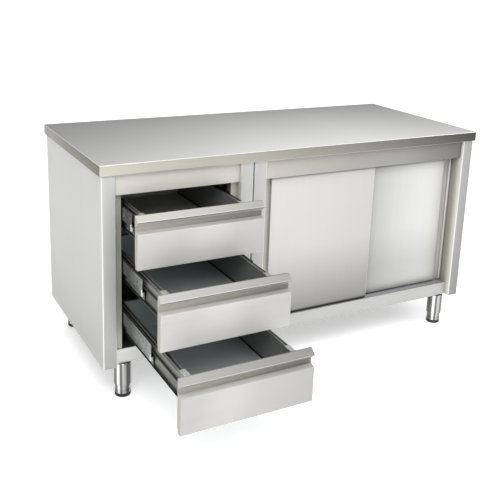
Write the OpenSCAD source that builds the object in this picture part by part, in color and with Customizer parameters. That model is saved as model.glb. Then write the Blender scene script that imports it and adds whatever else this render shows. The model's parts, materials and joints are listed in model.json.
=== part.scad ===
// Stainless work table: one worktop over a unit of three drawers and a cupboard
// with two sliding doors, on four adjustable feet.
// X runs along the table, Y from front to back, Z up from the floor. Millimetres.
// The origin lies on the floor, under the middle of the table and its open drawers.

/* [Table] */
// Length of the worktop
table_length = 1600; // [1400:50:1900]
// Depth of the worktop, front to back
table_depth = 700; // [650:10:800]
// Height of the worktop's upper face above the floor
table_height = 850; // [840:5:900]
// Height of the worktop's folded edge
edge_height = 38; // [30:1:45]
// How far the worktop stands out past the carcass on every side
overhang = 7; // [4:1:12]
// Thickness of the stainless sheet
sheet = 1.2; // [1:0.1:1.5]

/* [Carcass] */
// Height of the carcass's underside above the floor
carcass_bottom = 130; // [110:5:150]
// Width of the folded post at each side of an opening
post_width = 49; // [40:1:60]
// Depth of the folded post
post_depth = 80; // [76:1:90]
// Width of the drawer unit
drawer_unit_width = 555; // [545:5:600]
// Gap between the drawer unit and the cupboard
unit_gap = 5; // [3:1:8]
// Height of the fascia under the worktop
fascia_height = 72; // [60:1:75]
// How far the fascia stands behind the posts
fascia_setback = 12; // [8:1:14]
// Height of the rail under the openings
rail_height = 55; // [50:1:56]
// How far the rail stands behind the posts
rail_setback = 22; // [21:1:23]
// Height of the cupboard's middle shelf above the floor
shelf_height = 470; // [350:10:600]

/* [Drawers] */
// Distance from one drawer to the next one up
drawer_pitch = 187.5; // [180:0.5:190]
// Height of a drawer's front
front_height = 174; // [168:1:176]
// Height of the lowest drawer front's lower edge above the floor
lowest_front = 175; // [172:1:178]
// Gap between a drawer's front and the post at each side
front_gap = 5.5; // [3:0.5:7]
// How far the top drawer stands open
open_top = 182; // [0:1:550]
// How far the middle drawer stands open
open_middle = 372; // [0:1:550]
// How far the bottom drawer stands open, which is the furthest
open_bottom = 525; // [372:1:550]
// Height of a tray's underside above its front's lower edge
tray_floor = 44; // [40:1:50]
// Height of a tray's rim above its front's lower edge
tray_rim = 154; // [150:1:156]
// Width of a tray's double side wall
tray_wall = 13; // [10:1:16]
// Length of a tray
tray_length = 600; // [580:5:610]

/* [Doors] */
// Width of a sliding door
door_width = 507; // [480:1:520]
// Thickness of a sliding door
door_thickness = 18; // [18:1:19]
// How far the front door's face stands behind the posts
door_setback = 35; // [34:1:37]
// Distance between the two doors' tracks
track_pitch = 23; // [22.5:0.5:24]
// Width of the recessed grip channel
grip_width = 30; // [24:1:36]
// Depth of the recessed grip channel
grip_depth = 14; // [10:1:14]
// Radius of a door's roller
roller_radius = 12; // [10:0.5:13]

/* [Feet] */
// Distance from the end of the table to the middle of a foot
foot_inset_x = 89; // [88:1:110]
// Distance from the worktop's front or back edge to the middle of a foot
foot_inset_y = 51; // [50:1:70]
// Diameter of a foot's fixed sleeve
sleeve_diameter = 62; // [60:1:64]
// Diameter of a foot's adjustable lower part
insert_diameter = 54; // [50:1:56]
// Height of the sleeve's lower end above the floor
sleeve_bottom = 45; // [42:1:48]
// Height of the black plastic base
pad_height = 13; // [8:1:14]

/* [Hidden] */

half = sheet / 2;
round_fn = 64;
steel = [0.78, 0.78, 0.76];
dark_steel = [0.55, 0.55, 0.53];

// The table's outline. The open bottom drawer is the frontmost piece.
right_x = table_length / 2 - overhang;
left_x = -right_x;
back_y = (table_depth + open_bottom - overhang) / 2;
front_y = back_y - table_depth;
post_y = front_y + overhang;
rear_y = back_y - overhang;
carcass_top = table_height - edge_height;

// The two units and their openings
drawer_right_x = left_x + drawer_unit_width;
cupboard_left_x = drawer_right_x + unit_gap;
drawer_mid_x = (left_x + drawer_right_x) / 2;
drawer_opening = drawer_unit_width - 2 * post_width;
cupboard_mid_x = (cupboard_left_x + right_x) / 2;
cupboard_width = right_x - cupboard_left_x;
cupboard_opening = cupboard_width - 2 * post_width;

// Bottom pans: the shelf's floor and the rail's raised lip
rail_y = post_y + rail_setback;
rail_top = carcass_bottom + rail_height;
lip_height = 13;
lip_thickness = 3;
floor_top = rail_top - lip_height;
flange = 12;
rear_flange = 20;
hem = 10;
fascia_bottom = carcass_top - fascia_height;

// Drawer parts
front_width = drawer_opening - 2 * front_gap;
front_depth = 20;
liner_gap = 2;
liner_depth = front_depth + liner_gap + sheet;
upright_width = 26;
upright_depth = 30;
upright_clearance = 3.8;
upright_y = post_y + liner_depth + upright_clearance;
rear_upright_setback = 10;
slide_space = 16;
slide_length = tray_length;
tray_width = drawer_opening - 2 * (upright_width + slide_space);
tray_skirt = 60;
mid_slide_clearance = 2.8;
mid_slide_y = post_y + liner_depth + mid_slide_clearance;
hook_length = 8;

// Doors
door_clearance = 2;
door_drop = 1;
door_rise = 16;
door_bottom = rail_top - door_drop;
door_top = fascia_bottom + door_rise;
front_door_x = cupboard_mid_x - cupboard_opening / 2 + door_clearance + door_width / 2;
rear_door_x = cupboard_mid_x + cupboard_opening / 2 - door_clearance - door_width / 2;
front_door_y = post_y + door_setback;
rear_door_y = front_door_y + track_pitch;
grip_edge = 10;
track_width = 22;
track_slot = 6;
track_height = 36;
track_bottom = carcass_top - track_height;
roller_thickness = 5;
roller_offset = -4.5;
roller_clearance = 0.3;
roller_z = track_bottom + sheet + roller_clearance + roller_radius;
axle_radius = 3;
axle_clearance = 0.05;
hanger_inset = 60;
shoe_inset = 80;
shoe_length = 40;
shoe_thickness = 8;
shoe_clearance = 1;
guide_height = 9;
buffer_radius = 6;

// Feet
foot_x = table_length / 2 - foot_inset_x;
foot_front_y = front_y + foot_inset_y;
foot_back_y = back_y - foot_inset_y;
sleeve_wall = 2;
nut_plate_z = 84;
nut_plate_thickness = 8;
insert_top = 65;
spindle_radius = 6;
thread_clearance = 0.05;
spindle_top = 103;
plate_size = 110;
plate_z = carcass_bottom + sheet;
plate_thickness = 3;
bolt_radius = 5;
bolt_clearance = 0.25;
boss_radius = 8;
unit_bolt_radius = 3;
unit_bolt_clearance = 0.2;
spacer_radius = 9;
hex_ratio = 1.8;

// A folded sheet's section: square-cornered, along a path that runs parallel to the axes.
module fold(path) {
    for (i = [0 : len(path) - 2]) {
        a = path[i];
        b = path[i + 1];
        translate([min(a.x, b.x) - half, min(a.y, b.y) - half])
            square([abs(a.x - b.x) + sheet, abs(a.y - b.y) + sheet]);
    }
}

// A folded sheet's section along a path that may slant, with round bends.
module slanted_fold(path) {
    for (i = [0 : len(path) - 2]) {
        run = path[i + 1] - path[i];
        translate(path[i])
            rotate(atan2(run.y, run.x))
                translate([0, -half])
                    square([norm(run), sheet]);
    }
    for (p = path) translate(p) circle(d = sheet, $fn = 16);
}

// A section drawn in X and Z, drawn out from y0 to y1.
module along_y(y0, y1) {
    translate([0, y1, 0]) rotate([90, 0, 0]) linear_extrude(y1 - y0) children();
}

// A section drawn in Y and Z, drawn out from x0 to x1.
module along_x(x0, x1) {
    translate([x0, 0, 0]) rotate([90, 0, 90]) linear_extrude(x1 - x0) children();
}

// A section drawn in X and Y, drawn out from z0 to z1.
module along_z(z0, z1) {
    translate([0, 0, z0]) linear_extrude(z1 - z0) children();
}

// A block from its lowest to its highest corner.
module block(low, high) {
    translate(low) cube(high - low);
}

// The same piece at both sides of the drawer unit.
module both_sides() {
    children();
    translate([2 * drawer_mid_x, 0, 0]) mirror([1, 0, 0]) children();
}

// A bolt or screw along +Z: hexagonal head below the origin's plane, shank above.
module bolt(radius, length, head) {
    cylinder(r = radius, h = length, $fn = round_fn);
    translate([0, 0, -head]) hexagon(radius, head);
}

// A hexagonal head or nut for a shank of this radius.
module hexagon(radius, height) {
    cylinder(r = hex_ratio * radius, h = height, $fn = 6);
}

// ---- Worktop ----

module worktop_skin() {
    x = table_length / 2;
    inner = [x - sheet, table_depth / 2 - sheet];
    mid_y = (front_y + back_y) / 2;
    color(steel) translate([0, mid_y, 0]) difference() {
        block([-x, -table_depth / 2, carcass_top], [x, table_depth / 2, table_height]);
        block([-inner.x, -inner.y, carcass_top + sheet], [inner.x, inner.y, table_height - sheet]);
        block([-inner.x + flange, -inner.y + flange, carcass_top - 1],
              [inner.x - flange, inner.y - flange, carcass_top + 2 * sheet]);
    }
}

module worktop_core() {
    x = table_length / 2 - sheet;
    color("burlywood")
        block([-x, front_y + sheet, carcass_top + sheet], [x, back_y - sheet, table_height - sheet]);
}

// ---- Carcass ----

// A side panel: its front edge is folded round into a post, its rear edge is a flange.
// outer is the panel's outer face, and inward is +1 where the unit lies towards +X.
module side_panel(outer, inward) {
    web = outer + inward * half;
    jamb = outer + inward * (post_width - half);
    color(steel) along_z(carcass_bottom, carcass_top) fold([
        [outer + inward * rear_flange, rear_y - half],
        [web, rear_y - half],
        [web, post_y + half],
        [jamb, post_y + half],
        [jamb, post_y + post_depth - half],
        [jamb - inward * flange, post_y + post_depth - half]
    ]);
}

// The four places where a bolt joins the drawer unit to the cupboard.
module at_unit_bolts() {
    from_front = 160;
    from_back = 120;
    heights = [260, 700];
    for (y = [post_y + from_front, rear_y - from_back], z = heights)
        translate([0, y, z]) rotate([0, 90, 0]) children();
}

module drilled_side_panel(outer, inward) {
    color(steel) difference() {
        side_panel(outer, inward);
        translate([outer - 4 * sheet, 0, 0]) at_unit_bolts()
            cylinder(r = unit_bolt_radius + unit_bolt_clearance, h = 8 * sheet, $fn = round_fn);
    }
}

module left_side_panel() { side_panel(left_x, 1); }
module drawer_unit_inner_side() { drilled_side_panel(drawer_right_x, -1); }
module cupboard_inner_side() { drilled_side_panel(cupboard_left_x, 1); }
module right_side_panel() { side_panel(right_x, -1); }

module unit_back(x0, x1) {
    color(steel)
        block([x0 + sheet, rear_y - 2 * sheet, floor_top], [x1 - sheet, rear_y - sheet, carcass_top]);
}

module drawer_unit_back() { unit_back(left_x, drawer_right_x); }
module cupboard_back() { unit_back(cupboard_left_x, right_x); }

// A bottom pan: floor, front rail with a raised lip, and flanges down the other three sides,
// all turned inwards along their lower edges.
module bottom_pan(x0, x1) {
    behind_posts = post_y + post_depth;
    pan_back = rear_y - sheet;
    inner0 = x0 + post_width;
    inner1 = x1 - post_width;
    low = carcass_bottom + half;
    color(steel) {
        along_x(inner0, inner1) fold([
            [rail_y + flange, low],
            [rail_y + half, low],
            [rail_y + half, rail_top - half],
            [rail_y + half + lip_thickness, rail_top - half],
            [rail_y + half + lip_thickness, floor_top - half],
            [behind_posts, floor_top - half]
        ]);
        along_x(x0 + sheet, x1 - sheet) fold([
            [behind_posts + half, floor_top - half],
            [pan_back - half, floor_top - half],
            [pan_back - half, low],
            [pan_back - flange, low]
        ]);
        for (side = [[x0 + sheet + half, 1], [x1 - sheet - half, -1]])
            along_y(behind_posts, pan_back) fold([
                [side[0], floor_top - half],
                [side[0], low],
                [side[0] + side[1] * flange, low]
            ]);
    }
}

module drawer_unit_bottom() { bottom_pan(left_x, drawer_right_x); }
module cupboard_bottom() { bottom_pan(cupboard_left_x, right_x); }

// The fascia above an opening: a sheet with a flange at its top and a hem below.
module fascia(x0, x1) {
    face = post_y + fascia_setback + half;
    color(steel) along_x(x0 + post_width, x1 - post_width) fold([
        [face + flange, carcass_top - half],
        [face, carcass_top - half],
        [face, fascia_bottom + half],
        [face + flange, fascia_bottom + half],
        [face + flange, fascia_bottom + hem]
    ]);
}

module drawer_fascia() { fascia(left_x, drawer_right_x); }
module cupboard_fascia() { fascia(cupboard_left_x, right_x); }

// Uprights that carry the slides: a narrow channel behind each post, and a wide one near the
// back that reaches out to the side panel.
module slide_uprights() {
    x1 = left_x + post_width + upright_width - half;
    rear_upright_y = post_y + slide_length - rear_upright_setback;
    color(dark_steel) both_sides()
        for (upright = [[left_x + post_width + half, upright_y], [left_x + sheet + half, rear_upright_y]]) {
            x0 = upright[0];
            y = upright[1];
            along_z(floor_top, carcass_top) fold([
                [x0, y + half],
                [x1, y + half],
                [x1, y + upright_depth - half],
                [x0, y + upright_depth - half]
            ]);
        }
}

module middle_shelf() {
    side_gap = 0.5;
    front_space = 6;
    back_gap = 2;
    drop = 30;
    return = 15;
    x0 = cupboard_left_x + sheet + side_gap;
    x1 = right_x - sheet - side_gap;
    y0 = post_y + post_depth + front_space;
    y1 = rear_y - 2 * sheet - back_gap;
    color(steel) along_x(x0, x1) fold([
        [y0 + return, shelf_height - drop],
        [y0 + half, shelf_height - drop],
        [y0 + half, shelf_height - half],
        [y1 - half, shelf_height - half],
        [y1 - half, shelf_height - drop],
        [y1 - return, shelf_height - drop]
    ]);
}

// Angle brackets under the middle shelf, two at each side.
module shelf_brackets() {
    leg = 22;
    length = 40;
    from_front = 140;
    from_back = 100;
    top = shelf_height - sheet;
    color(dark_steel)
        for (side = [-1, 1], y = [post_y + from_front, rear_y - from_back]) {
            wall = side < 0 ? cupboard_left_x + sheet : right_x - sheet;
            along_y(y, y + length) fold([
                [wall - side * half, top - leg],
                [wall - side * half, top - half],
                [wall - side * leg, top - half]
            ]);
        }
}

module unit_spacers() {
    color(dark_steel) translate([drawer_right_x, 0, 0]) at_unit_bolts() difference() {
        cylinder(r = spacer_radius, h = unit_gap, $fn = round_fn);
        translate([0, 0, -1])
            cylinder(r = unit_bolt_radius + unit_bolt_clearance, h = unit_gap + 2, $fn = round_fn);
    }
}

module unit_bolts() {
    grip = unit_gap + 2 * sheet;
    head = 4;
    nut = 5;
    spare = 8;
    color(dark_steel) translate([drawer_right_x - sheet, 0, 0]) at_unit_bolts() {
        bolt(unit_bolt_radius, grip + spare, head);
        translate([0, 0, grip]) hexagon(unit_bolt_radius, nut);
    }
}

// ---- Feet ----

module at_feet() {
    for (x = [-foot_x, foot_x], y = [foot_front_y, foot_back_y]) translate([x, y, 0]) children();
}

// Plates that the feet are bolted to. They lie on the pans' lower flanges, against the post
// at the front and in the corner of the flanges at the back.
module foot_plates() {
    jamb_x = right_x - post_width;
    flange_x = right_x - 2 * sheet;
    back_plate = [plate_size + 30, plate_size + 20];
    color(dark_steel) for (side = [-1, 1]) mirror([side < 0 ? 1 : 0, 0, 0]) difference() {
        union() {
            block([jamb_x - plate_size, rail_y + sheet, plate_z],
                  [jamb_x, rail_y + plate_size, plate_z + plate_thickness]);
            block([flange_x - back_plate.x, rear_y - back_plate.y, plate_z],
                  [flange_x, rear_y - 2 * sheet, plate_z + plate_thickness]);
        }
        for (y = [foot_front_y, foot_back_y]) translate([foot_x, y, plate_z - 1])
            cylinder(r = bolt_radius + bolt_clearance, h = plate_thickness + 2, $fn = round_fn);
    }
}

module foot_bolts() {
    shank = 22;
    head = 6;
    nut = 8;
    color(dark_steel) at_feet() translate([0, 0, carcass_bottom - sheet]) {
        bolt(bolt_radius, shank, head);
        translate([0, 0, plate_z + plate_thickness - carcass_bottom + sheet]) hexagon(bolt_radius, nut);
    }
}

// The fixed upper tube of each foot, with its top disc, boss and threaded plate.
module foot_sleeves() {
    radius = sleeve_diameter / 2;
    color(steel) at_feet() difference() {
        union() {
            translate([0, 0, sleeve_bottom])
                cylinder(r = radius, h = carcass_bottom - sleeve_bottom, $fn = round_fn);
            translate([0, 0, carcass_bottom - 1]) cylinder(r = boss_radius, h = 1 + sheet, $fn = round_fn);
        }
        translate([0, 0, sleeve_bottom - 1])
            cylinder(r = radius - sleeve_wall, h = nut_plate_z - sleeve_bottom + 1, $fn = round_fn);
        translate([0, 0, nut_plate_z + nut_plate_thickness])
            cylinder(r = radius - sleeve_wall,
                     h = carcass_bottom - sheet - nut_plate_z - nut_plate_thickness, $fn = round_fn);
        translate([0, 0, nut_plate_z - 1])
            cylinder(r = spindle_radius + thread_clearance, h = nut_plate_thickness + 2, $fn = round_fn);
        translate([0, 0, carcass_bottom - 4 * sheet])
            cylinder(r = bolt_radius + bolt_clearance, h = 8 * sheet, $fn = round_fn);
    }
}

// The adjustable lower part: a tube with grooves turned in it, and its threaded spindle.
module foot_insert(x, y) {
    radius = insert_diameter / 2;
    groove_depth = 0.8;
    groove_width = 1.5;
    color(steel) translate([x, y, 0]) difference() {
        union() {
            translate([0, 0, pad_height]) cylinder(r = radius, h = insert_top - pad_height, $fn = round_fn);
            cylinder(r = spindle_radius, h = spindle_top, $fn = round_fn);
        }
        translate([0, 0, -1]) cylinder(r = radius + 1, h = pad_height + 1, $fn = round_fn);
        for (rise = [5, 9, 13])
            translate([0, 0, pad_height + rise]) difference() {
                cylinder(r = radius + 1, h = groove_width, $fn = round_fn);
                translate([0, 0, -1])
                    cylinder(r = radius - groove_depth, h = groove_width + 2, $fn = round_fn);
            }
    }
}

module foot_pad(x, y) {
    rim = 1;
    edge = 2.5;
    radius = insert_diameter / 2 + rim;
    color([0.08, 0.08, 0.08]) translate([x, y, 0]) {
        cylinder(r1 = radius - edge, r2 = radius, h = edge, $fn = round_fn);
        translate([0, 0, edge]) cylinder(r = radius, h = pad_height - edge, $fn = round_fn);
    }
}

// ---- Drawers ----

// Section of a drawer's front. x is the depth behind the face and y the height above the
// lower edge: face, ledge, finger groove, rounded nose, sloping lip, then the rear liner.
head_height = 57;
ledge_rise = 6;
groove_opening = 16;
nose_drop = 17.5;
nose_radius = 3.5;
nose_centre = [6, front_height - nose_drop];
return_height = 14;
face_top = front_height - head_height;
groove_low = face_top + ledge_rise;
groove_high = groove_low + groove_opening;
front_path = concat(
    [
        [front_depth - half, half],
        [half, half],
        [half, face_top],
        [front_depth + half, groove_low],
        [front_depth + half, groove_high]
    ],
    [for (a = [230 : -22 : 120]) nose_centre + nose_radius * [cos(a), sin(a)]],
    [
        [front_depth - 1, front_height - half],
        [liner_depth - half, front_height - half],
        [liner_depth - half, return_height]
    ]
);

module drawer_front(bottom, opened) {
    x0 = drawer_mid_x - front_width / 2;
    x1 = drawer_mid_x + front_width / 2;
    end_outline = concat(front_path, [[front_depth - half, return_height]]);
    color(steel) translate([0, post_y - opened, bottom]) {
        along_x(x0, x1) slanted_fold(front_path);
        for (x = [x0, x1 - sheet]) along_x(x, x + sheet) polygon(end_outline);
    }
}

// The tray: a pan whose side and rear walls are folded over into an outer skirt, and a
// stiffening strip on each front corner of the rim.
module drawer_tray(bottom, opened) {
    x0 = -tray_width / 2;
    x1 = tray_width / 2;
    y1 = tray_length;
    pan = [x1 - tray_wall, y1 - tray_wall];
    strip = [18, 70, 2];
    color(dark_steel) translate([drawer_mid_x, post_y + liner_depth - opened, bottom]) {
        difference() {
            union() {
                difference() {
                    block([x0, 0, tray_skirt], [x1, y1, tray_rim]);
                    block([x0 + sheet, sheet, tray_skirt - 1], [x1 - sheet, y1 - sheet, tray_rim - sheet]);
                }
                block([-pan.x, 0, tray_floor], [pan.x, pan.y, tray_rim]);
            }
            block([-pan.x + sheet, sheet, tray_floor + sheet], [pan.x - sheet, pan.y - sheet, tray_rim + 1]);
        }
        for (x = [x0, x1 - strip.x]) translate([x, 0, tray_rim]) cube(strip);
    }
}

// The telescopic slides' sections. x is the distance from the upright's face, y the height
// above the drawer front's lower edge.
cabinet_top = 152;
cabinet_low = 99;
cabinet_upper_lip = 7;
cabinet_lower_lip = 4;
mid_top = 147;
mid_step = 103;
mid_low = 76;
mid_upper_web = 4;
mid_lower_web = 11;
runner_top = 121.5;
runner_low = 72.5;
runner_lip = 7.5;
cabinet_section = [
    [cabinet_upper_lip, cabinet_top],
    [half, cabinet_top],
    [half, cabinet_low],
    [cabinet_lower_lip, cabinet_low]
];
mid_section = [
    [mid_upper_web, mid_top],
    [mid_upper_web, mid_step],
    [mid_lower_web, mid_step],
    [mid_lower_web, mid_low]
];
drawer_section = [
    [runner_lip, runner_top],
    [slide_space - half, runner_top],
    [slide_space - half, runner_low],
    [runner_lip, runner_low]
];
slide_x = left_x + post_width + upright_width;

module slide_pair(section, bottom, y0, length) {
    translate([0, 0, bottom]) both_sides()
        along_y(y0, y0 + length) translate([slide_x, 0]) fold(section);
}

module cabinet_slide_members() {
    setback = hook_length + 2;
    color(dark_steel) for (i = [0 : 2])
        slide_pair(cabinet_section, lowest_front + i * drawer_pitch, mid_slide_y + setback,
                   slide_length - setback);
}

module drawer_slides(bottom, opened) {
    color(steel) slide_pair(drawer_section, bottom, post_y + liner_depth + 1 - opened, slide_length - 2);
}

module mid_slides(bottom, opened) {
    hole_radius = 3;
    holes = [42, 190];
    color(steel) difference() {
        slide_pair(mid_section, bottom, mid_slide_y - opened / 2, slide_length - 4);
        translate([0, 0, bottom]) both_sides()
            for (y = holes)
                translate([slide_x, mid_slide_y - opened / 2 + y, (mid_top + mid_step) / 2])
                    rotate([0, 90, 0]) cylinder(r = hole_radius, h = 2 * mid_upper_web, $fn = round_fn);
    }
}

// White plastic hooks that stop the mid members, one on each front end.
module slide_hooks(bottom, opened) {
    outer = 2.2;
    web = mid_upper_web - half;
    top = mid_step - half;
    toe = 3;
    drop = 13;
    rise = 9;
    color([0.9, 0.9, 0.9]) translate([0, mid_slide_y - opened / 2, bottom]) both_sides() {
        block([slide_x + outer, 0, top - drop], [slide_x + web + toe, hook_length, top]);
        block([slide_x + outer, 0, top], [slide_x + web, hook_length, top + rise]);
    }
}

top_bottom = lowest_front + 2 * drawer_pitch;
middle_bottom = lowest_front + drawer_pitch;

// ---- Doors ----

// A door's front skin, its grip channel along the edge named by hand: -1 left, 1 right.
module door_skin(mid_x, face_y, hand) {
    edge = door_width / 2;
    back = door_thickness - half;
    channel = edge - grip_edge;
    color(steel) translate([mid_x, face_y, 0]) mirror([hand < 0 ? 0 : 1, 0, 0]) {
        along_z(door_bottom, door_top) fold([
            [-edge + half, back],
            [-edge + half, half],
            [-channel, half],
            [-channel, grip_depth],
            [-channel + grip_width, grip_depth],
            [-channel + grip_width, half],
            [edge - half, half],
            [edge - half, back]
        ]);
        for (z = [door_bottom, door_top - sheet])
            block([-channel + grip_width + half, sheet, z],
                  [edge - sheet, door_thickness - sheet, z + sheet]);
    }
}

module door_liner(mid_x, face_y) {
    edge = door_width / 2 - sheet;
    back = face_y + door_thickness;
    color(steel) block([mid_x - edge, back - sheet, door_bottom], [mid_x + edge, back, door_top]);
}

// Hangers: a foot on the door's top, a plate up through the track's slot, and an axle.
module door_hangers(mid_x, face_y) {
    centre_y = face_y + door_thickness / 2;
    foot = [15, 6, 2];
    plate = [12, 1];
    plate_rise = 7;
    axle_length = 8;
    axle_head = 1;
    color(dark_steel) for (side = [-1, 1])
        translate([mid_x + side * (door_width / 2 - hanger_inset), centre_y, 0]) {
            block([-foot.x, -foot.y, door_top], [foot.x, foot.y, door_top + foot.z]);
            block([-plate.x, -plate.y, door_top], [plate.x, plate.y, roller_z + plate_rise]);
            translate([0, 0, roller_z]) rotate([90, 0, 0]) {
                cylinder(r = axle_radius, h = axle_length, $fn = round_fn);
                translate([0, 0, axle_length - 0.4 * axle_head])
                    cylinder(r = 1.5 * axle_radius, h = axle_head, $fn = round_fn);
            }
        }
}

module door_roller(mid_x, face_y, side) {
    centre_y = face_y + door_thickness / 2 + roller_offset;
    x = mid_x + side * (door_width / 2 - hanger_inset);
    color([0.9, 0.9, 0.88]) translate([x, centre_y + roller_thickness / 2, roller_z])
        rotate([90, 0, 0]) difference() {
            cylinder(r = roller_radius, h = roller_thickness, $fn = round_fn);
            translate([0, 0, -1])
                cylinder(r = axle_radius + axle_clearance, h = roller_thickness + 2, $fn = round_fn);
        }
}

// Nylon shoes under a door, which run in the bottom guide.
module door_shoes(mid_x, face_y) {
    centre_y = face_y + door_thickness / 2;
    half_shoe = [shoe_length / 2, shoe_thickness / 2];
    shoe_rise = 2.5;
    color([0.9, 0.9, 0.88]) for (side = [-1, 1])
        translate([mid_x + side * (door_width / 2 - shoe_inset), centre_y, 0])
            block([-half_shoe.x, -half_shoe.y, floor_top + shoe_rise],
                  [half_shoe.x, half_shoe.y, door_bottom]);
}

// The sections of a door's overhead track and bottom guide, about the door's middle plane.
module track_section() {
    wall = track_width / 2 - half;
    fold([
        [-track_slot / 2 - half, track_bottom + half],
        [-wall, track_bottom + half],
        [-wall, carcass_top - half],
        [wall, carcass_top - half],
        [wall, track_bottom + half],
        [track_slot / 2 + half, track_bottom + half]
    ]);
}

module guide_section() {
    rib = shoe_thickness / 2 + shoe_clearance + half;
    fold([
        [-rib, floor_top + guide_height],
        [-rib, floor_top + half],
        [rib, floor_top + half],
        [rib, floor_top + guide_height]
    ]);
}

module at_both_tracks() {
    for (y = [front_door_y, rear_door_y]) translate([y + door_thickness / 2, 0]) children();
}

module door_track() {
    x0 = cupboard_mid_x - cupboard_opening / 2;
    color("silver") along_x(x0, x0 + cupboard_opening) {
        at_both_tracks() track_section();
        fold([[front_door_y + door_thickness / 2, carcass_top - half],
              [rear_door_y + door_thickness / 2, carcass_top - half]]);
    }
}

module door_bottom_guide() {
    x0 = cupboard_mid_x - cupboard_opening / 2;
    color("silver") along_x(x0, x0 + cupboard_opening) {
        at_both_tracks() guide_section();
        fold([[front_door_y + door_thickness / 2, floor_top + half],
              [rear_door_y + door_thickness / 2, floor_top + half]]);
    }
}

// Rubber buffers on the jambs, which the closed doors come to rest against.
module door_buffers() {
    gap = 0.3;
    heights = [300, 650];
    doors = [[-1, front_door_y], [1, rear_door_y]];
    color([0.1, 0.1, 0.1]) for (z = heights, door = doors)
        translate([cupboard_mid_x + door[0] * cupboard_opening / 2, door[1] + door_thickness / 2, z])
            rotate([0, -90 * door[0], 0])
                cylinder(r = buffer_radius, h = door_clearance - gap, $fn = round_fn);
}

worktop_skin();
worktop_core();
left_side_panel();
drawer_unit_inner_side();
drawer_unit_back();
drawer_unit_bottom();
drawer_fascia();
slide_uprights();
cabinet_slide_members();
cupboard_inner_side();
right_side_panel();
cupboard_back();
cupboard_bottom();
cupboard_fascia();
middle_shelf();
shelf_brackets();
door_track();
door_bottom_guide();
door_buffers();
unit_spacers();
unit_bolts();
foot_plates();
foot_bolts();
foot_sleeves();
foot_insert(-foot_x, foot_front_y);  // foot_insert_front_left
foot_insert(foot_x, foot_front_y);  // foot_insert_front_right
foot_insert(-foot_x, foot_back_y);  // foot_insert_back_left
foot_insert(foot_x, foot_back_y);  // foot_insert_back_right
foot_pad(-foot_x, foot_front_y);  // foot_pad_front_left
foot_pad(foot_x, foot_front_y);  // foot_pad_front_right
foot_pad(-foot_x, foot_back_y);  // foot_pad_back_left
foot_pad(foot_x, foot_back_y);  // foot_pad_back_right
drawer_front(top_bottom, open_top);  // top_drawer_front
drawer_tray(top_bottom, open_top);  // top_drawer_tray
drawer_slides(top_bottom, open_top);  // top_drawer_slides
mid_slides(top_bottom, open_top);  // top_mid_slides
slide_hooks(top_bottom, open_top);  // top_slide_hooks
drawer_front(middle_bottom, open_middle);  // middle_drawer_front
drawer_tray(middle_bottom, open_middle);  // middle_drawer_tray
drawer_slides(middle_bottom, open_middle);  // middle_drawer_slides
mid_slides(middle_bottom, open_middle);  // middle_mid_slides
slide_hooks(middle_bottom, open_middle);  // middle_slide_hooks
drawer_front(lowest_front, open_bottom);  // bottom_drawer_front
drawer_tray(lowest_front, open_bottom);  // bottom_drawer_tray
drawer_slides(lowest_front, open_bottom);  // bottom_drawer_slides
mid_slides(lowest_front, open_bottom);  // bottom_mid_slides
slide_hooks(lowest_front, open_bottom);  // bottom_slide_hooks
door_skin(front_door_x, front_door_y, -1);  // front_door_skin
door_liner(front_door_x, front_door_y);  // front_door_liner
door_hangers(front_door_x, front_door_y);  // front_door_hangers
door_shoes(front_door_x, front_door_y);  // front_door_shoes
door_roller(front_door_x, front_door_y, -1);  // front_door_roller_left
door_roller(front_door_x, front_door_y, 1);  // front_door_roller_right
door_skin(rear_door_x, rear_door_y, 1);  // rear_door_skin
door_liner(rear_door_x, rear_door_y);  // rear_door_liner
door_hangers(rear_door_x, rear_door_y);  // rear_door_hangers
door_shoes(rear_door_x, rear_door_y);  // rear_door_shoes
door_roller(rear_door_x, rear_door_y, -1);  // rear_door_roller_left
door_roller(rear_door_x, rear_door_y, 1);  // rear_door_roller_right
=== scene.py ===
"""Looks for the stainless work table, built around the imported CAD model. Metres."""

import json
import math

import bmesh
import bpy
from mathutils import Matrix, Vector


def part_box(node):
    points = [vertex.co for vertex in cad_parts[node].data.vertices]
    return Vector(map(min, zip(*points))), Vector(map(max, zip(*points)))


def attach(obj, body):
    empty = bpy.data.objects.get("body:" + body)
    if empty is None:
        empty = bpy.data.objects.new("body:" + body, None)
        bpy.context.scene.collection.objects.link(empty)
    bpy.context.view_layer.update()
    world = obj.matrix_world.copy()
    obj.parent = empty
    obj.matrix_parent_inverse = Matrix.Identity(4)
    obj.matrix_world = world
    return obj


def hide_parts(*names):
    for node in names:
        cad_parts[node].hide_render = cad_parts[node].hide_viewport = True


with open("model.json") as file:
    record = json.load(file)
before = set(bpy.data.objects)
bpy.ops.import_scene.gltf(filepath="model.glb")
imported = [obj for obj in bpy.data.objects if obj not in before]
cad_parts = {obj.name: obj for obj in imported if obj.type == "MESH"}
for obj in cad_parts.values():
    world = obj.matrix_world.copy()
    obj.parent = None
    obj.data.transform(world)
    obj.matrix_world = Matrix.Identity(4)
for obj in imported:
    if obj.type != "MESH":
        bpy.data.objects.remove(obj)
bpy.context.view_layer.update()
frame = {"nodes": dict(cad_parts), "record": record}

# ---- Sizes that the frame's boxes don't give ----

SHEET = 0.0012
HALF = SHEET / 2
FLANGE = 0.012
BEND = 0.0026

# How far a face's centre may lie from the place that a finish is meant for.
SLACK = 0.001
HAIR = 0.0001

# Cosines between a face's normal and an axis, for the same tests.
FACING = 0.9
MOSTLY_FACING = 0.8
LYING = 0.7
ON_END = 0.6
TILTED = 0.3
TURNED_DOWN = 0.2
CREASED = 0.15
OFF_SQUARE = 0.1
# Worktop
TOP_CORNER = 0.004
TOP_INNER_CORNER = 0.001
TOP_EDGE = 0.0025

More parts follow.
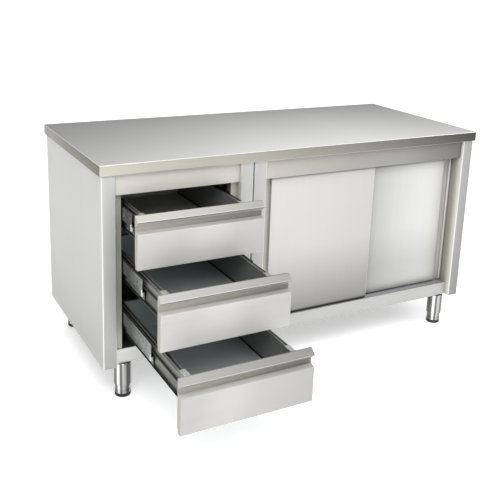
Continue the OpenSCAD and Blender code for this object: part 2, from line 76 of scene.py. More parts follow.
# Panels, fascias and bottom pans
POST_BEND = 0.0040
POST_DEPTH = 0.080
REAR_FLANGE = 0.020
FASCIA_HEM = 0.010
PAN_BEND = 0.0016
RAIL_HEIGHT = 0.055
RAIL_LIP_HEIGHT = 0.013
RAIL_LIP_THICKNESS = 0.003

# Feet
TURNED_EDGE = 0.001
SLEEVE_EDGE = 0.0008
SLEEVE_WALL = 0.002
SLEEVE_BORE = 0.030
SLEEVE_PLATE = 0.0022
SLEEVE_NECK = 0.008
INSERT_EDGE = 0.0006
INSERT_TUBE_TOP = 0.065
INSERT_GROOVES = (0.0050, 0.0090, 0.0130)
INSERT_GROOVE_DEPTH = 0.0009
INSERT_GROOVE_WIDTH = 0.0020
INSERT_GROOVE_SLOPE = 0.0006
SPINDLE_RADIUS = 0.006
PAD_ROUND = 0.003

# Drawer fronts
FRONT_EDGE = 0.0012
FRONT_BEND = 0.0018
FRONT_DEPTH = 0.020
FRONT_RETURN = 0.014
FRONT_FOOT = 0.003
GROOVE_HEIGHT = 0.023
LEDGE_RISE = 0.006
HEAD_HEIGHT = 0.057
NOSE_DROP = 0.0175
NOSE_RADIUS = 0.0041
NOSE_UNDERSIDE = 0.004
NOSE_BACK = 0.001

# Trays: the strip is (width, length, height), the beads are heights above the skirt
TRAY_WALL = 0.013
TRAY_CORNER = 0.006
TRAY_EDGE = 0.0015
TRAY_BEND = 0.004
TRAY_KNEE = 0.0012
TRAY_CHAMFER = 0.001
TRAY_FRONT_GAP = 0.0003
TRAY_RIM_LINE = 0.004
TRAY_RIM_FRONT = 0.0009
TRAY_SKIRT_HEIGHT = 0.094
TRAY_BEADS = (0.064, 0.078)
TRAY_BEAD_DEPTH = 0.0008
TRAY_BEAD_HEIGHT = 0.0032
TRAY_BEAD_SLOPE = 0.0010
TRAY_STRIP = (0.018, 0.070, 0.002)
TRAY_STRIP_CORNER = 0.0022
TRAY_STRIP_EDGE = 0.0006
TRAY_OUTSIDE_DEPTH = 0.0007
TRAY_INSIDE_DEPTH = (-0.0002, 0.0006)

# Doors
DOOR_BEND = 0.0022
DOOR_GRIP_EDGE = 0.010
DOOR_GRIP_WIDTH = 0.030
DOOR_GRIP_DEPTH = 0.014

# Edges of the CAD meshes, and the angle in degrees that counts as an edge
CAD_EDGE = 0.0003
CAD_WELD = 0.00001
CAD_EDGE_ANGLE = 40
SHARP_ANGLE = 32

# Waves per metre of the patterns in the finishes. Grain has waves across it and along it.
HAIR_GRAIN = (1400, 12)
STREAK_GRAIN = (55, 1.1)
MARKS = (5, 5, 5)
SPANGLE = (70, 70, 110)
SPECKLE = (500, 500, 500)
DRAWN_LINES = (700, 700, 6)
PITS = (900, 900, 900)
CLOUD = (40, 40, 40)
CHIPS = 260
FLOOR_CLOUD = (1.5, 1.5, 1.5)

DRAWERS = ("top", "middle", "bottom")
CORNERS = ("front_left", "front_right", "back_left", "back_right")

# ---- Studio and camera: places from the middle of the table's footprint, in metres ----

FLOOR_REACH = 150
FLOOR_TONE = 0.80
FLOOR_GLOW = 0.45
SKY = ((0.0, 1.0), (0.04, 1.0), (0.12, 0.56), (0.7, 0.9))
LIGHT_TARGET = (0, 0, 0.4)
SOFTBOXES = (
    {"name": "key", "place": (-1.2, -2.6, 3.4), "width": 3.2, "height": 2.4, "power": 120},
    {"name": "fill", "place": (3.2, -1.2, 2.6), "width": 2.0, "height": 2.0, "power": 40},
)
CAMERA_PLACE = (-1.522, -2.647, 1.472)
CAMERA_YAW = 28.83
CAMERA_PITCH = -14.65
CAMERA_ROLL = 2.04
CAMERA_SENSOR = 36
CAMERA_LENS = 55.79
CAMERA_SHIFT = -0.16
CAMERA_REACH = 400

# ---- Shapes ----


def rounded(points, radius, steps=5):
    """The line through these 2-D points, with each inner corner turned into an arc."""
    line = [Vector(points[0])]
    for before, corner, after in zip(points, points[1:], points[2:]):
        corner = Vector(corner)
        u = Vector(before) - corner
        v = Vector(after) - corner
        half_angle = u.angle(v) / 2
        reach = min(radius / math.tan(half_angle), 0.49 * u.length, 0.49 * v.length)
        u.normalize()
        v.normalize()
        bend = reach * math.tan(half_angle)
        centre = corner + (u + v).normalized() * (bend / math.sin(half_angle))
        start = corner + u * reach - centre
        end = corner + v * reach - centre
        turn = start.angle_signed(end)
        for i in range(steps + 1):
            a = -turn * i / steps
            x = start.x * math.cos(a) - start.y * math.sin(a)
            y = start.x * math.sin(a) + start.y * math.cos(a)
            line.append(centre + Vector((x, y)))
    line.append(Vector(points[-1]))
    return line


def thickened(line, thickness):
    """The closed outline of a sheet of this thickness that follows a line."""
    left = []
    right = []
    for i, point in enumerate(line):
        before = (point - line[i - 1]).normalized() if i > 0 else None
        after = (line[i + 1] - point).normalized() if i < len(line) - 1 else None
        along = ((before or after) + (after or before)).normalized()
        across = Vector((-along.y, along.x))
        widen = 1 / max(0.3, along.dot(after or before))
        left.append(point + across * (thickness / 2 * widen))
        right.append(point - across * (thickness / 2 * widen))
    return left + right[::-1]


def placed(axis, along, p):
    """A 2-D section point, put at a distance along the axis that the section is drawn out on."""
    if axis == "X":
        return Vector((along, p[0], p[1]))
    if axis == "Y":
        return Vector((p[0], along, p[1]))
    return Vector((p[0], p[1], along))


def add_extrusion(bm, outline, axis, low, high, edge=0.0):
    """Draws a closed outline out between two planes, and rounds the rims of its ends."""
    first = [bm.verts.new(placed(axis, low, p)) for p in outline]
    last = [bm.verts.new(placed(axis, high, p)) for p in outline]
    faces = [bm.faces.new(first), bm.faces.new(last[::-1])]
    count = len(outline)
    for i in range(count):
        j = (i + 1) % count
        faces.append(bm.faces.new((first[i], last[i], last[j], first[j])))
    bmesh.ops.recalc_face_normals(bm, faces=faces)
    if edge:
        rims = list(faces[0].edges) + list(faces[1].edges)
        bmesh.ops.bevel(bm, geom=rims, offset=edge, segments=3, profile=0.5, affect="EDGES")


def add_fold(bm, points, axis, low, high, radius=BEND):
    """A folded sheet with round bends, drawn out along an axis."""
    add_extrusion(bm, thickened(rounded(points, radius), SHEET), axis, low, high)


def ring(x0, x1, y0, y1, radius, z, steps=5):
    """The points of a level rectangle with round corners."""
    radius = max(radius, 0.0002)
    points = []
    corners = ((x1, y1, 0), (x0, y1, 90), (x0, y0, 180), (x1, y0, 270))
    for x, y, start in corners:
        cx = x - radius if x == x1 else x + radius
        cy = y - radius if y == y1 else y + radius
        for i in range(steps + 1):
            a = math.radians(start + 90 * i / steps)
            points.append(Vector((cx + radius * math.cos(a), cy + radius * math.sin(a), z)))
    return points


def add_loft(bm, rings):
    """A closed skin through rings of the same number of points, capped at both ends."""
    rows = [[bm.verts.new(p) for p in points] for points in rings]
    faces = [bm.faces.new(rows[0][::-1]), bm.faces.new(rows[-1])]
    count = len(rows[0])
    for low, high in zip(rows, rows[1:]):
        for i in range(count):
            j = (i + 1) % count
            faces.append(bm.faces.new((low[i], low[j], high[j], high[i])))
    bmesh.ops.recalc_face_normals(bm, faces=faces)


def add_turned(bm, profile, centre, segments=64):
    """A solid of revolution about a vertical axis, from (radius, height) points."""
    rings = []
    for radius, height in profile:
        points = []
        for i in range(segments):
            a = 2 * math.pi * i / segments
            r = max(radius, 0.0001)
            points.append(Vector((centre[0] + r * math.cos(a), centre[1] + r * math.sin(a), height)))
        rings.append(points)
    add_loft(bm, rings)


def arc(centre, radius, start, end, steps=6):
    """Points on an arc, in degrees."""
    points = []
    for i in range(steps + 1):
        a = math.radians(start + (end - start) * i / steps)
        points.append((centre[0] + radius * math.cos(a), centre[1] + radius * math.sin(a)))
    return points


def finish_mesh(bm, name, body, material, node):
    """Turns the built shape into a piece that rides on a body and stands for a CAD node."""
    mesh = bpy.data.meshes.new(name)
    bm.to_mesh(mesh)
    bm.free()
    mesh.shade_smooth()
    mesh.set_sharp_from_angle(angle=math.radians(SHARP_ANGLE))
    mesh.materials.append(material)
    piece = bpy.data.objects.new(name, mesh)
    bpy.context.scene.collection.objects.link(piece)
    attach(piece, body)
    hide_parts(node)
    return piece


def repaint(piece, material, wanted):
    """Gives another finish to the faces whose centre and normal meet a test."""
    piece.data.materials.append(material)
    index = len(piece.data.materials) - 1
    for face in piece.data.polygons:
        if wanted(face.center, face.normal):
            face.material_index = index


def span(node):
    """A node's box as two corners."""
    low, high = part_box(node)
    return Vector(low), Vector(high)


# ---- Materials ----


def new_material(name):
    """A node material, with its tree and its Principled shader."""
    material = bpy.data.materials.new(name)
    material.use_nodes = True
    tree = material.node_tree
    shader = tree.nodes["Principled BSDF"]
    return material, tree, shader


def object_noise(tree, scale, detail, roughness=0.55):
    """Noise stretched by a different scale along each axis of the object."""
    coordinates = tree.nodes.new("ShaderNodeTexCoord")
    mapping = tree.nodes.new("ShaderNodeMapping")
    mapping.inputs["Scale"].default_value = scale
    noise = tree.nodes.new("ShaderNodeTexNoise")
    noise.inputs["Scale"].default_value = 1.0
    noise.inputs["Detail"].default_value = detail
    noise.inputs["Roughness"].default_value = roughness
    tree.links.new(coordinates.outputs["Object"], mapping.inputs["Vector"])
    tree.links.new(mapping.outputs["Vector"], noise.inputs["Vector"])
    return noise.outputs["Fac"]


def ranged(tree, value, low, high, start=0.3, end=0.7):
    """Maps noise between two numbers."""
    node = tree.nodes.new("ShaderNodeMapRange")
    node.inputs["From Min"].default_value = start
    node.inputs["From Max"].default_value = end
    node.inputs["To Min"].default_value = low
    node.inputs["To Max"].default_value = high
    tree.links.new(value, node.inputs["Value"])
    return node.outputs["Result"]


def average(tree, a, b):
    """Half of each of two values."""
    total = tree.nodes.new("ShaderNodeMath")
    total.operation = "ADD"
    tree.links.new(a, total.inputs[0])
    tree.links.new(b, total.inputs[1])
    halved = tree.nodes.new("ShaderNodeMath")
    halved.operation = "MULTIPLY"
    halved.inputs[1].default_value = 0.5
    tree.links.new(total.outputs[0], halved.inputs[0])
    return halved.outputs[0]


def ramp(tree, value, stops):
    """A colour for a value, from (value, colour) stops."""
    node = tree.nodes.new("ShaderNodeValToRGB")
    elements = node.color_ramp.elements
    while len(elements) < len(stops):
        elements.new(0.5)
    for element, (position, colour) in zip(elements, stops):
        element.position = position
        element.color = (*colour, 1)
    tree.links.new(value, node.inputs["Fac"])
    return node.outputs["Color"]


def tinted(tree, value, tone, contrast):
    """A tone that darkens by a share of itself where the noise is low."""
    dark = [c * (1 - contrast) for c in tone]
    return ramp(tree, value, ((0.3, dark), (0.7, tone)))


def faded(tree, colour, direction, stops):
    """Paints light and shade into a colour: scales it along a direction in the object, by factors at
    (metres, factor) stops.
    """
    start = stops[0][0]
    reach = stops[-1][0] - start
    coordinates = tree.nodes.new("ShaderNodeTexCoord")
    along = tree.nodes.new("ShaderNodeVectorMath")
    along.operation = "DOT_PRODUCT"
    along.inputs[1].default_value = direction
    tree.links.new(coordinates.outputs["Object"], along.inputs[0])
    place = ranged(tree, along.outputs["Value"], 0, 1, start, start + reach)
    factor = ramp(tree, place, [((p - start) / reach, (f, f, f)) for p, f in stops])
    product = tree.nodes.new("ShaderNodeVectorMath")
    product.operation = "MULTIPLY"
    tree.links.new(colour, product.inputs[0])
    tree.links.new(factor, product.inputs[1])
    return product.outputs["Vector"]


def bumped(tree, shader, height, strength, distance):
    """Gives a shader fine relief from a height value."""
    bump = tree.nodes.new("ShaderNodeBump")
    bump.inputs["Strength"].default_value = strength
    bump.inputs["Distance"].default_value = distance
    tree.links.new(height, bump.inputs["Height"])
    tree.links.new(bump.outputs["Normal"], shader.inputs["Normal"])


def grain_scale(axis, across, along):
    """Noise scales, in waves per metre, for a grain that runs along an axis."""
    return [along if name == axis else across for name in "XYZ"]


def brushed_steel(name, axis, tone, rough, fades=(), contrast=0.06, scratch=0.12, metal=0.6):
    """Stainless sheet: hair-fine grain along one axis, broad streaks and faint handling marks.

    Its satin finish scatters light: metal is the share that still reflects as bare metal. Fades are
    (direction, stops) pairs that paint light and shade into the colour.
    """
    material, tree, shader = new_material(name)
    shader.inputs["Metallic"].default_value = metal
    hair = object_noise(tree, grain_scale(axis, *HAIR_GRAIN), 3)
    streaks = object_noise(tree, grain_scale(axis, *STREAK_GRAIN), 4)
    marks = object_noise(tree, MARKS, 4, 0.6)
    colour = tinted(tree, average(tree, streaks, marks), tone, contrast)
    for direction, stops in fades:
        colour = faded(tree, colour, direction, stops)
    tree.links.new(colour, shader.inputs["Base Color"])
    finish = ranged(tree, average(tree, hair, marks), *rough)
    tree.links.new(finish, shader.inputs["Roughness"])
    bumped(tree, shader, average(tree, hair, streaks), scratch, 0.0002)
    return material


def zinc_plate(name, tone, contrast, rough):
    """Zinc-plated sheet: bright spangle in patches, with fine speckle."""
    material, tree, shader = new_material(name)
    shader.inputs["Metallic"].default_value = 1.0
    patches = object_noise(tree, SPANGLE, 4)
    speckle = object_noise(tree, SPECKLE, 2)
    spangle = ranged(tree, average(tree, patches, speckle), 0, 1, 0.38, 0.62)
    tree.links.new(tinted(tree, spangle, tone, contrast), shader.inputs["Base Color"])
    tree.links.new(ranged(tree, speckle, *rough), shader.inputs["Roughness"])
    bumped(tree, shader, spangle, 0.2, 0.0004)
    return material


def drawn_tube(name, painted_reflections):
    """Polished tube: painted reflections as upright light and dark bands around it, from (turn, tone)
    stops, and drawing lines.
    """
    material, tree, shader = new_material(name)
    shader.inputs["Metallic"].default_value = 1.0
    geometry = tree.nodes.new("ShaderNodeNewGeometry")
    split = tree.nodes.new("ShaderNodeSeparateXYZ")
    tree.links.new(geometry.outputs["Normal"], split.inputs["Vector"])
    turn = tree.nodes.new("ShaderNodeMath")
    turn.operation = "ARCTAN2"
    tree.links.new(split.outputs["Y"], turn.inputs[0])
    tree.links.new(split.outputs["X"], turn.inputs[1])
    around = ranged(tree, turn.outputs[0], 0, 1, -math.pi, math.pi)
    lines = object_noise(tree, DRAWN_LINES, 3)
    colour = ramp(tree, around, [(p, (f, f, 0.98 * f)) for p, f in painted_reflections])
    tree.links.new(colour, shader.inputs["Base Color"])
    tree.links.new(ranged(tree, lines, 0.10, 0.22), shader.inputs["Roughness"])
    bumped(tree, shader, lines, 0.06, 0.0002)
    return material


def moulded_plastic(name, tone, rough, grain):
    """Moulded plastic or rubber with a fine pitted skin."""
    material, tree, shader = new_material(name)
    pits = object_noise(tree, PITS, 3)
    cloud = object_noise(tree, CLOUD, 3)
    tree.links.new(tinted(tree, cloud, tone, 0.3), shader.inputs["Base Color"])
    tree.links.new(ranged(tree, pits, rough - 0.08, rough + 0.08), shader.inputs["Roughness"])
    bumped(tree, shader, pits, grain, 0.0003)
    return material


def board(name):
    """Bare particle board."""
    material, tree, shader = new_material(name)
    chips = tree.nodes.new("ShaderNodeTexVoronoi")
    chips.inputs["Scale"].default_value = CHIPS
    coordinates = tree.nodes.new("ShaderNodeTexCoord")
    tree.links.new(coordinates.outputs["Object"], chips.inputs["Vector"])
    fibres = object_noise(tree, SPECKLE, 4)
    mixed = average(tree, chips.outputs["Distance"], fibres)
    tree.links.new(tinted(tree, mixed, (0.48, 0.35, 0.21), 0.6), shader.inputs["Base Color"])
    tree.links.new(ranged(tree, fibres, 0.75, 0.92), shader.inputs["Roughness"])
    bumped(tree, shader, mixed, 0.4, 0.0008)
    return material


# Painted light and shade: how the studio's light grades the sheet metal, put into its colour as a
# direction, then (metres, factor) stops along it.
ALONG_X = (1, 0, 0)
ALONG_Y = (0, 1, 0)
ALONG_Z = (0, 0, 1)
TOP_ACROSS = (ALONG_X, ((-0.8, 0.60), (-0.1, 0.98), (0.3, 1.0), (0.8, 0.70)))
TOP_BACK = (ALONG_Y, ((-0.09, 1.0), (0.25, 0.68), (0.609, 0.31)))
EDGE_ALONG = (ALONG_X, ((-0.8, 1.0), (-0.35, 0.78), (0.0, 0.54), (0.35, 0.37), (0.8, 0.10)))
END_ALONG = (ALONG_Y, ((-0.09, 0.75), (0.3, 0.72), (0.609, 1.0)))
BODY_ALONG = (ALONG_X, ((-0.8, 1.0), (-0.74, 1.0), (-0.3, 0.85), (0.7, 0.80), (0.8, 0.54)))
BODY_RISE = (ALONG_Z, ((0.13, 0.74), (0.35, 0.90), (0.6, 1.0)))
# Painted shade: the posts' inner returns darken towards the back of the recess.
JAMB_BACK = (ALONG_Y, ((-0.084, 1.0), (-0.05, 0.42), (-0.004, 0.20)))
FASCIA_ALONG = (
    ALONG_X,
    (
        (-0.8, 1.0),
        (-0.5, 1.0),
        (-0.25, 0.74),
        (-0.1, 0.62),
        (0.2, 0.47),
        (0.45, 0.41),
        (0.76, 0.19),
    ),
)
RAIL_ALONG = (ALONG_X, ((-0.75, 1.0), (-0.3, 0.66), (0.75, 0.64)))
# Painted shade on the front door: very dark at its foot by the rail, darker low down, and a painted
# shadow of the fascia across its top.
DOOR_RISE = (
    ALONG_Z,
    (
        (0.18, 0.08),
        (0.188, 0.10),
        (0.195, 0.47),
        (0.30, 0.68),
        (0.45, 0.98),
        (0.724, 1.05),
        (0.732, 0.45),
    ),
)
DOOR_ALONG = (ALONG_X, ((-0.18, 1.0), (0.33, 0.86)))
# Painted shade on the rear door: dark at its foot, a painted shadow of the fascia across its top, and
# along X a painted shadow beside the front door's edge.
REAR_DOOR_RISE = (
    ALONG_Z,
    (
        (0.18, 0.10),
        (0.186, 0.14),
        (0.192, 0.80),
        (0.30, 0.77),
        (0.45, 0.97),
        (0.69, 1.02),
        (0.716, 0.84),
        (0.724, 0.4),
    ),
)
REAR_DOOR_ALONG = (ALONG_X, ((0.32, 0.50), (0.37, 0.70), (0.45, 0.83), (0.58, 0.97), (0.74, 1.08)))
FRONT_RISE = (
    ALONG_Z,
    ((0.175, 0.74), (0.351, 0.74), (0.3625, 1.1), (0.40, 0.96), (0.45, 0.86), (0.73, 0.86)),
)
FRONT_ALONG = (ALONG_X, ((-0.75, 1.0), (-0.5, 1.0), (-0.29, 0.86)))
# Painted reflection: a light diagonal streak across the drawer fronts.
FRONT_REFLECTION_STREAK = (
    (1, 0, -0.25),
    ((-1.0, 0.90), (-0.75, 0.90), (-0.68, 1.0), (-0.62, 1.0), (-0.55, 0.90)),
)
LIP_RISE = (ALONG_Z, ((0.3, 0.64), (0.36, 0.64), (0.53, 0.84), (0.72, 1.0)))
LIP_ALONG = (ALONG_X, ((-0.75, 1.0), (-0.5, 0.95), (-0.29, 0.74)))
GROOVE_ALONG = (ALONG_X, ((-0.75, 1.0), (-0.69, 1.0), (-0.5, 0.74), (-0.29, 0.50)))
# Painted reflections round a polished tube: light and dark bands, (turn, tone) stops.
FOOT_REFLECTIONS = (
    (0, 0.16),
    (0.078, 0.16),
    (0.09, 0.74),
    (0.138, 0.74),
    (0.15, 0.15),
    (0.186, 0.17),
    (0.198, 0.46),
    (0.22, 0.46),
    (0.234, 0.36),
    (0.262, 0.32),
    (0.276, 0.11),
    (0.345, 0.12),
    (0.365, 0.46),
    (0.42, 0.50),
    (0.45, 0.28),
    (0.5, 0.55),
    (0.6, 0.80),
    (0.68, 0.30),
    (0.76, 0.85),
    (0.85, 0.25),
    (0.95, 0.20),
)

# Most of these steels are lit and shaded copies of one stainless sheet: their tones and fades paint
# light and shade into the colour.
STEELS = {
    "worktop_steel": dict(
        axis="X", tone=(0.80, 0.80, 0.79), rough=(0.28, 0.34), fades=(TOP_ACROSS, TOP_BACK),
        contrast=0.02, scratch=0.04,
    ),
    # Shaded copies of the worktop's steel for its edges and ends: painted shade.
    "edge_steel": dict(
        axis="X", tone=(0.49, 0.475, 0.415), rough=(0.26, 0.38), fades=(EDGE_ALONG,)
    ),
    "end_steel": dict(axis="Y", tone=(0.165, 0.155, 0.13), rough=(0.26, 0.38), fades=(END_ALONG,)),
    "body_steel": dict(
        axis="Z", tone=(0.50, 0.50, 0.49), rough=(0.36, 0.50), fades=(BODY_ALONG, BODY_RISE),
        metal=0.3,
    ),
    "panel_steel": dict(
        axis="Z", tone=(0.50, 0.50, 0.49), rough=(0.36, 0.50), fades=(BODY_RISE,),
        metal=0.3,
    ),
    "jamb_steel": dict(
        axis="Z", tone=(0.85, 0.83, 0.74), rough=(0.36, 0.50), fades=(JAMB_BACK,),
        metal=0.2,
    ),
    "back_steel": dict(
        axis="Z", tone=(0.46, 0.46, 0.45), rough=(0.36, 0.50), metal=0.4,
    ),
    "fascia_steel": dict(
        axis="X", tone=(0.64, 0.625, 0.575), rough=(0.40, 0.52), fades=(FASCIA_ALONG,),
        contrast=0.05, scratch=0.10, metal=0.3,
    ),
    "rail_steel": dict(
        axis="X", tone=(0.66, 0.66, 0.65), rough=(0.30, 0.44), fades=(RAIL_ALONG,), contrast=0.10
    ),
    # Darker copy of the front steel for the fronts' ends: painted shade.
    "front_end_steel": dict(
        axis="Y", tone=(0.34, 0.335, 0.31), rough=(0.34, 0.46), contrast=0.03, scratch=0.05,
        metal=0.15,
    ),
    "front_steel": dict(
        axis="X", tone=(0.62, 0.615, 0.60), rough=(0.42, 0.54),
        fades=(FRONT_RISE, FRONT_ALONG, FRONT_REFLECTION_STREAK), contrast=0.05, scratch=0.10, metal=0.15,
    ),
    "ledge_steel": dict(
        axis="X", tone=(0.42, 0.41, 0.385), rough=(0.40, 0.52), fades=(LIP_ALONG,),
        contrast=0.05, scratch=0.10, metal=0.2,
    ),
    "groove_steel": dict(
        axis="X", tone=(0.30, 0.29, 0.26), rough=(0.28, 0.40), fades=(GROOVE_ALONG,)
    ),
    # Darker steel for the side panels' back bends: a painted dark line.
    "bend_steel": dict(axis="Z", tone=(0.30, 0.29, 0.26), rough=(0.28, 0.40)),
    "lip_steel": dict(
        axis="X", tone=(0.41, 0.40, 0.375), rough=(0.42, 0.54), fades=(LIP_RISE, LIP_ALONG),
        contrast=0.05, scratch=0.08, metal=0.3,
    ),
    "shadow_steel": dict(axis="X", tone=(0.13, 0.12, 0.105), rough=(0.30, 0.44)),
    "door_steel": dict(
        axis="X", tone=(0.55, 0.54, 0.53), rough=(0.34, 0.46), contrast=0.03, scratch=0.05
    ),
    "front_door_steel": dict(
        axis="Z", tone=(0.55, 0.54, 0.53), rough=(0.34, 0.46), fades=(DOOR_RISE, DOOR_ALONG),
        contrast=0.03, scratch=0.05,
    ),
    "rear_door_steel": dict(
        axis="Z", tone=(0.62, 0.62, 0.61), rough=(0.34, 0.46),
        fades=(REAR_DOOR_RISE, REAR_DOOR_ALONG), contrast=0.03, scratch=0.05,
    ),
    # Painted highlight for rounded bends and edges.
    "painted_highlight": dict(axis="Z", tone=(0.72, 0.72, 0.71), rough=(0.34, 0.48)),
    # Darker steel for the doors' grip channels: painted shade.
    "channel_steel": dict(
        axis="Z", tone=(0.42, 0.415, 0.395), rough=(0.36, 0.50), contrast=0.05, scratch=0.10,
        metal=0.3,
    ),
    # Very dark steel for the cabinet's insides: painted shade.
    "pan_steel": dict(axis="X", tone=(0.15, 0.155, 0.148), rough=(0.30, 0.45)),
    "upright_steel": dict(
        axis="Z", tone=(0.38, 0.375, 0.335), rough=(0.34, 0.48), contrast=0.05, scratch=0.10,
        metal=0.4,
    ),
    "tray_steel": dict(
        axis="Y", tone=(0.36, 0.385, 0.385), rough=(0.40, 0.54), contrast=0.05, scratch=0.06,
        metal=0.4,
    ),
    # Painted light: a lighter copy of the tray steel for the top drawer.
    "top_tray_steel": dict(
        axis="Y", tone=(0.50, 0.54, 0.55), rough=(0.42, 0.56), contrast=0.05, scratch=0.06,
        metal=0.25,
    ),
    # Darker copy of the tray steel for the trays' inner walls: painted shade.
    "inner_wall_steel": dict(axis="Y", tone=(0.22, 0.23, 0.225), rough=(0.40, 0.54)),
    # Painted shadow for the outer band of the trays' rims.
    "rim_shadow_steel": dict(axis="Y", tone=(0.035, 0.035, 0.033), rough=(0.40, 0.54)),
    # Painted shade for the crease along the trays' floors.
    "crease_shade_steel": dict(axis="Y", tone=(0.02, 0.02, 0.02), rough=(0.40, 0.54)),
    # Darker copy of the tray steel for the trays' outer walls and rims: painted shade.
    "wall_steel": dict(axis="Y", tone=(0.20, 0.20, 0.185), rough=(0.30, 0.44)),
    "track_aluminium": dict(axis="X", tone=(0.60, 0.60, 0.61), rough=(0.30, 0.42)),
}

# Painted shadow on the trays' side walls above the slides: how they darken with the distance from the
# front.
UPPER_WALL_SHADOW = ((0.06, 1.0), (0.10, 0.2))
UPPER_WALL = dict(
    axis="Y", tone=(0.20, 0.20, 0.185), rough=(0.36, 0.50), contrast=0.03, scratch=0.05
)

MATERIALS = {name: brushed_steel(name, **finish) for name, finish in STEELS.items()}
MATERIALS |= {
    "rim_steel": zinc_plate("rim_steel", (0.72, 0.72, 0.70), contrast=0.15, rough=(0.2, 0.35)),
    "slide_steel": zinc_plate("slide_steel", (0.33, 0.35, 0.34), contrast=0.55, rough=(0.26, 0.42)),
    "zinc_steel": zinc_plate("zinc_steel", (0.17, 0.17, 0.155), contrast=0.5, rough=(0.28, 0.44)),
    "foot_steel": drawn_tube("foot_steel", FOOT_REFLECTIONS),
    "black_plastic": moulded_plastic("black_plastic", (0.008, 0.008, 0.008), rough=0.60, grain=0.15),
    "black_rubber": moulded_plastic("black_rubber", (0.03, 0.03, 0.03), rough=0.65, grain=0.3),
    "white_plastic": moulded_plastic("white_plastic", (0.82, 0.82, 0.80), rough=0.38, grain=0.1),
    "white_nylon": moulded_plastic("white_nylon", (0.78, 0.78, 0.75), rough=0.42, grain=0.12),
    "core_board": board("core_board"),
}

# ---- Worktop ----


def build_worktop():
    """The folded skin with a turned-down edge all round, open underneath."""
    low, high = span("worktop_skin")

    def level(inset, z):
        corner = max(TOP_CORNER - inset, TOP_INNER_CORNER)
        return ring(low.x + inset, high.x - inset, low.y + inset, high.y - inset, corner, z)

    rings = [
        level(SHEET, high.z - SHEET),
        level(SHEET, low.z + SHEET),
        level(SHEET + FLANGE, low.z + SHEET),
        level(SHEET + FLANGE, low.z),
    ]
    for inset, rise in arc((TOP_EDGE, TOP_EDGE), TOP_EDGE, 270, 180):
        rings.append(level(inset, low.z + rise))
    for inset, rise in arc((TOP_EDGE, -TOP_EDGE), TOP_EDGE, 180, 90):
        rings.append(level(inset, high.z + rise))
    bm = bmesh.new()
    add_loft(bm, rings)
    steel = MATERIALS["worktop_steel"]
    piece = finish_mesh(bm, "worktop_sheet", "root", steel, "worktop_skin")
    # Painted light and shade: the edges and ends get darker shaded copies of the top's steel, and the
    # rounded bends a painted highlight.
    repaint(piece, MATERIALS["edge_steel"], lambda centre, normal: abs(normal.y) > MOSTLY_FACING)
    repaint(piece, MATERIALS["end_steel"], lambda centre, normal: abs(normal.x) > MOSTLY_FACING)
    repaint(piece, MATERIALS["painted_highlight"], lambda centre, normal: TILTED < normal.z < FACING)


# ---- Carcass ----


def build_side_panel(node, inward):
    """A side panel whose front edge folds round into a post. Inward is +1 or -1 along X."""
    low, high = span(node)
    outer = low.x if inward > 0 else high.x
    web = outer + inward * HALF
    jamb = (high.x if inward > 0 else low.x) - inward * HALF
    back = low.y + POST_DEPTH - HALF
    bm = bmesh.new()
    add_fold(
        bm,
        [
            (outer + inward * REAR_FLANGE, high.y - HALF),
            (web, high.y - HALF),
            (web, low.y + HALF),
            (jamb, low.y + HALF),
            (jamb, back),
            (jamb - inward * FLANGE, back),
        ],
        "Z",
        low.z,
        high.z,
        POST_BEND,
    )
    piece = finish_mesh(bm, node + "_sheet", "root", MATERIALS["body_steel"], node)

    def on_outer_face(centre, normal):
        return normal.x * inward < -FACING and abs(centre.x - outer) < HALF

    def on_jamb(centre, normal):
        return normal.x * inward > FACING and abs(centre.x - jamb) < SHEET and centre.y < back

    def on_front_bend(centre, normal):
        return centre.y < low.y + POST_BEND and abs(normal.x) > TILTED and normal.y < -TILTED

    def on_back_bend(centre, normal):
        bent = normal.x * inward < -OFF_SQUARE and normal.y > OFF_SQUARE
        return bent and centre.y > high.y - POST_BEND

    # Painted light and shade: the outer face gets a copy of the body steel with its own painted
    # shading, the jamb a lighter steel that darkens into the recess, the front bend a painted
    # highlight and the back bend a painted dark line.
    repaint(piece, MATERIALS["panel_steel"], on_outer_face)
    repaint(piece, MATERIALS["jamb_steel"], on_jamb)
    repaint(piece, MATERIALS["painted_highlight"], on_front_bend)
    repaint(piece, MATERIALS["bend_steel"], on_back_bend)


def build_fascia(node):
    """A channel with a hem along its lower edge."""
    low, high = span(node)
    face = low.y + HALF
    back = high.y - HALF
    bm = bmesh.new()
    add_fold(
        bm,
        [
            (back, high.z - HALF),
            (face, high.z - HALF),
            (face, low.z + HALF),
            (back, low.z + HALF),
            (back, low.z + FASCIA_HEM),
        ],
        "X",
        low.x,
        high.x,
    )
    finish_mesh(bm, node + "_sheet", "root", MATERIALS["fascia_steel"], node)


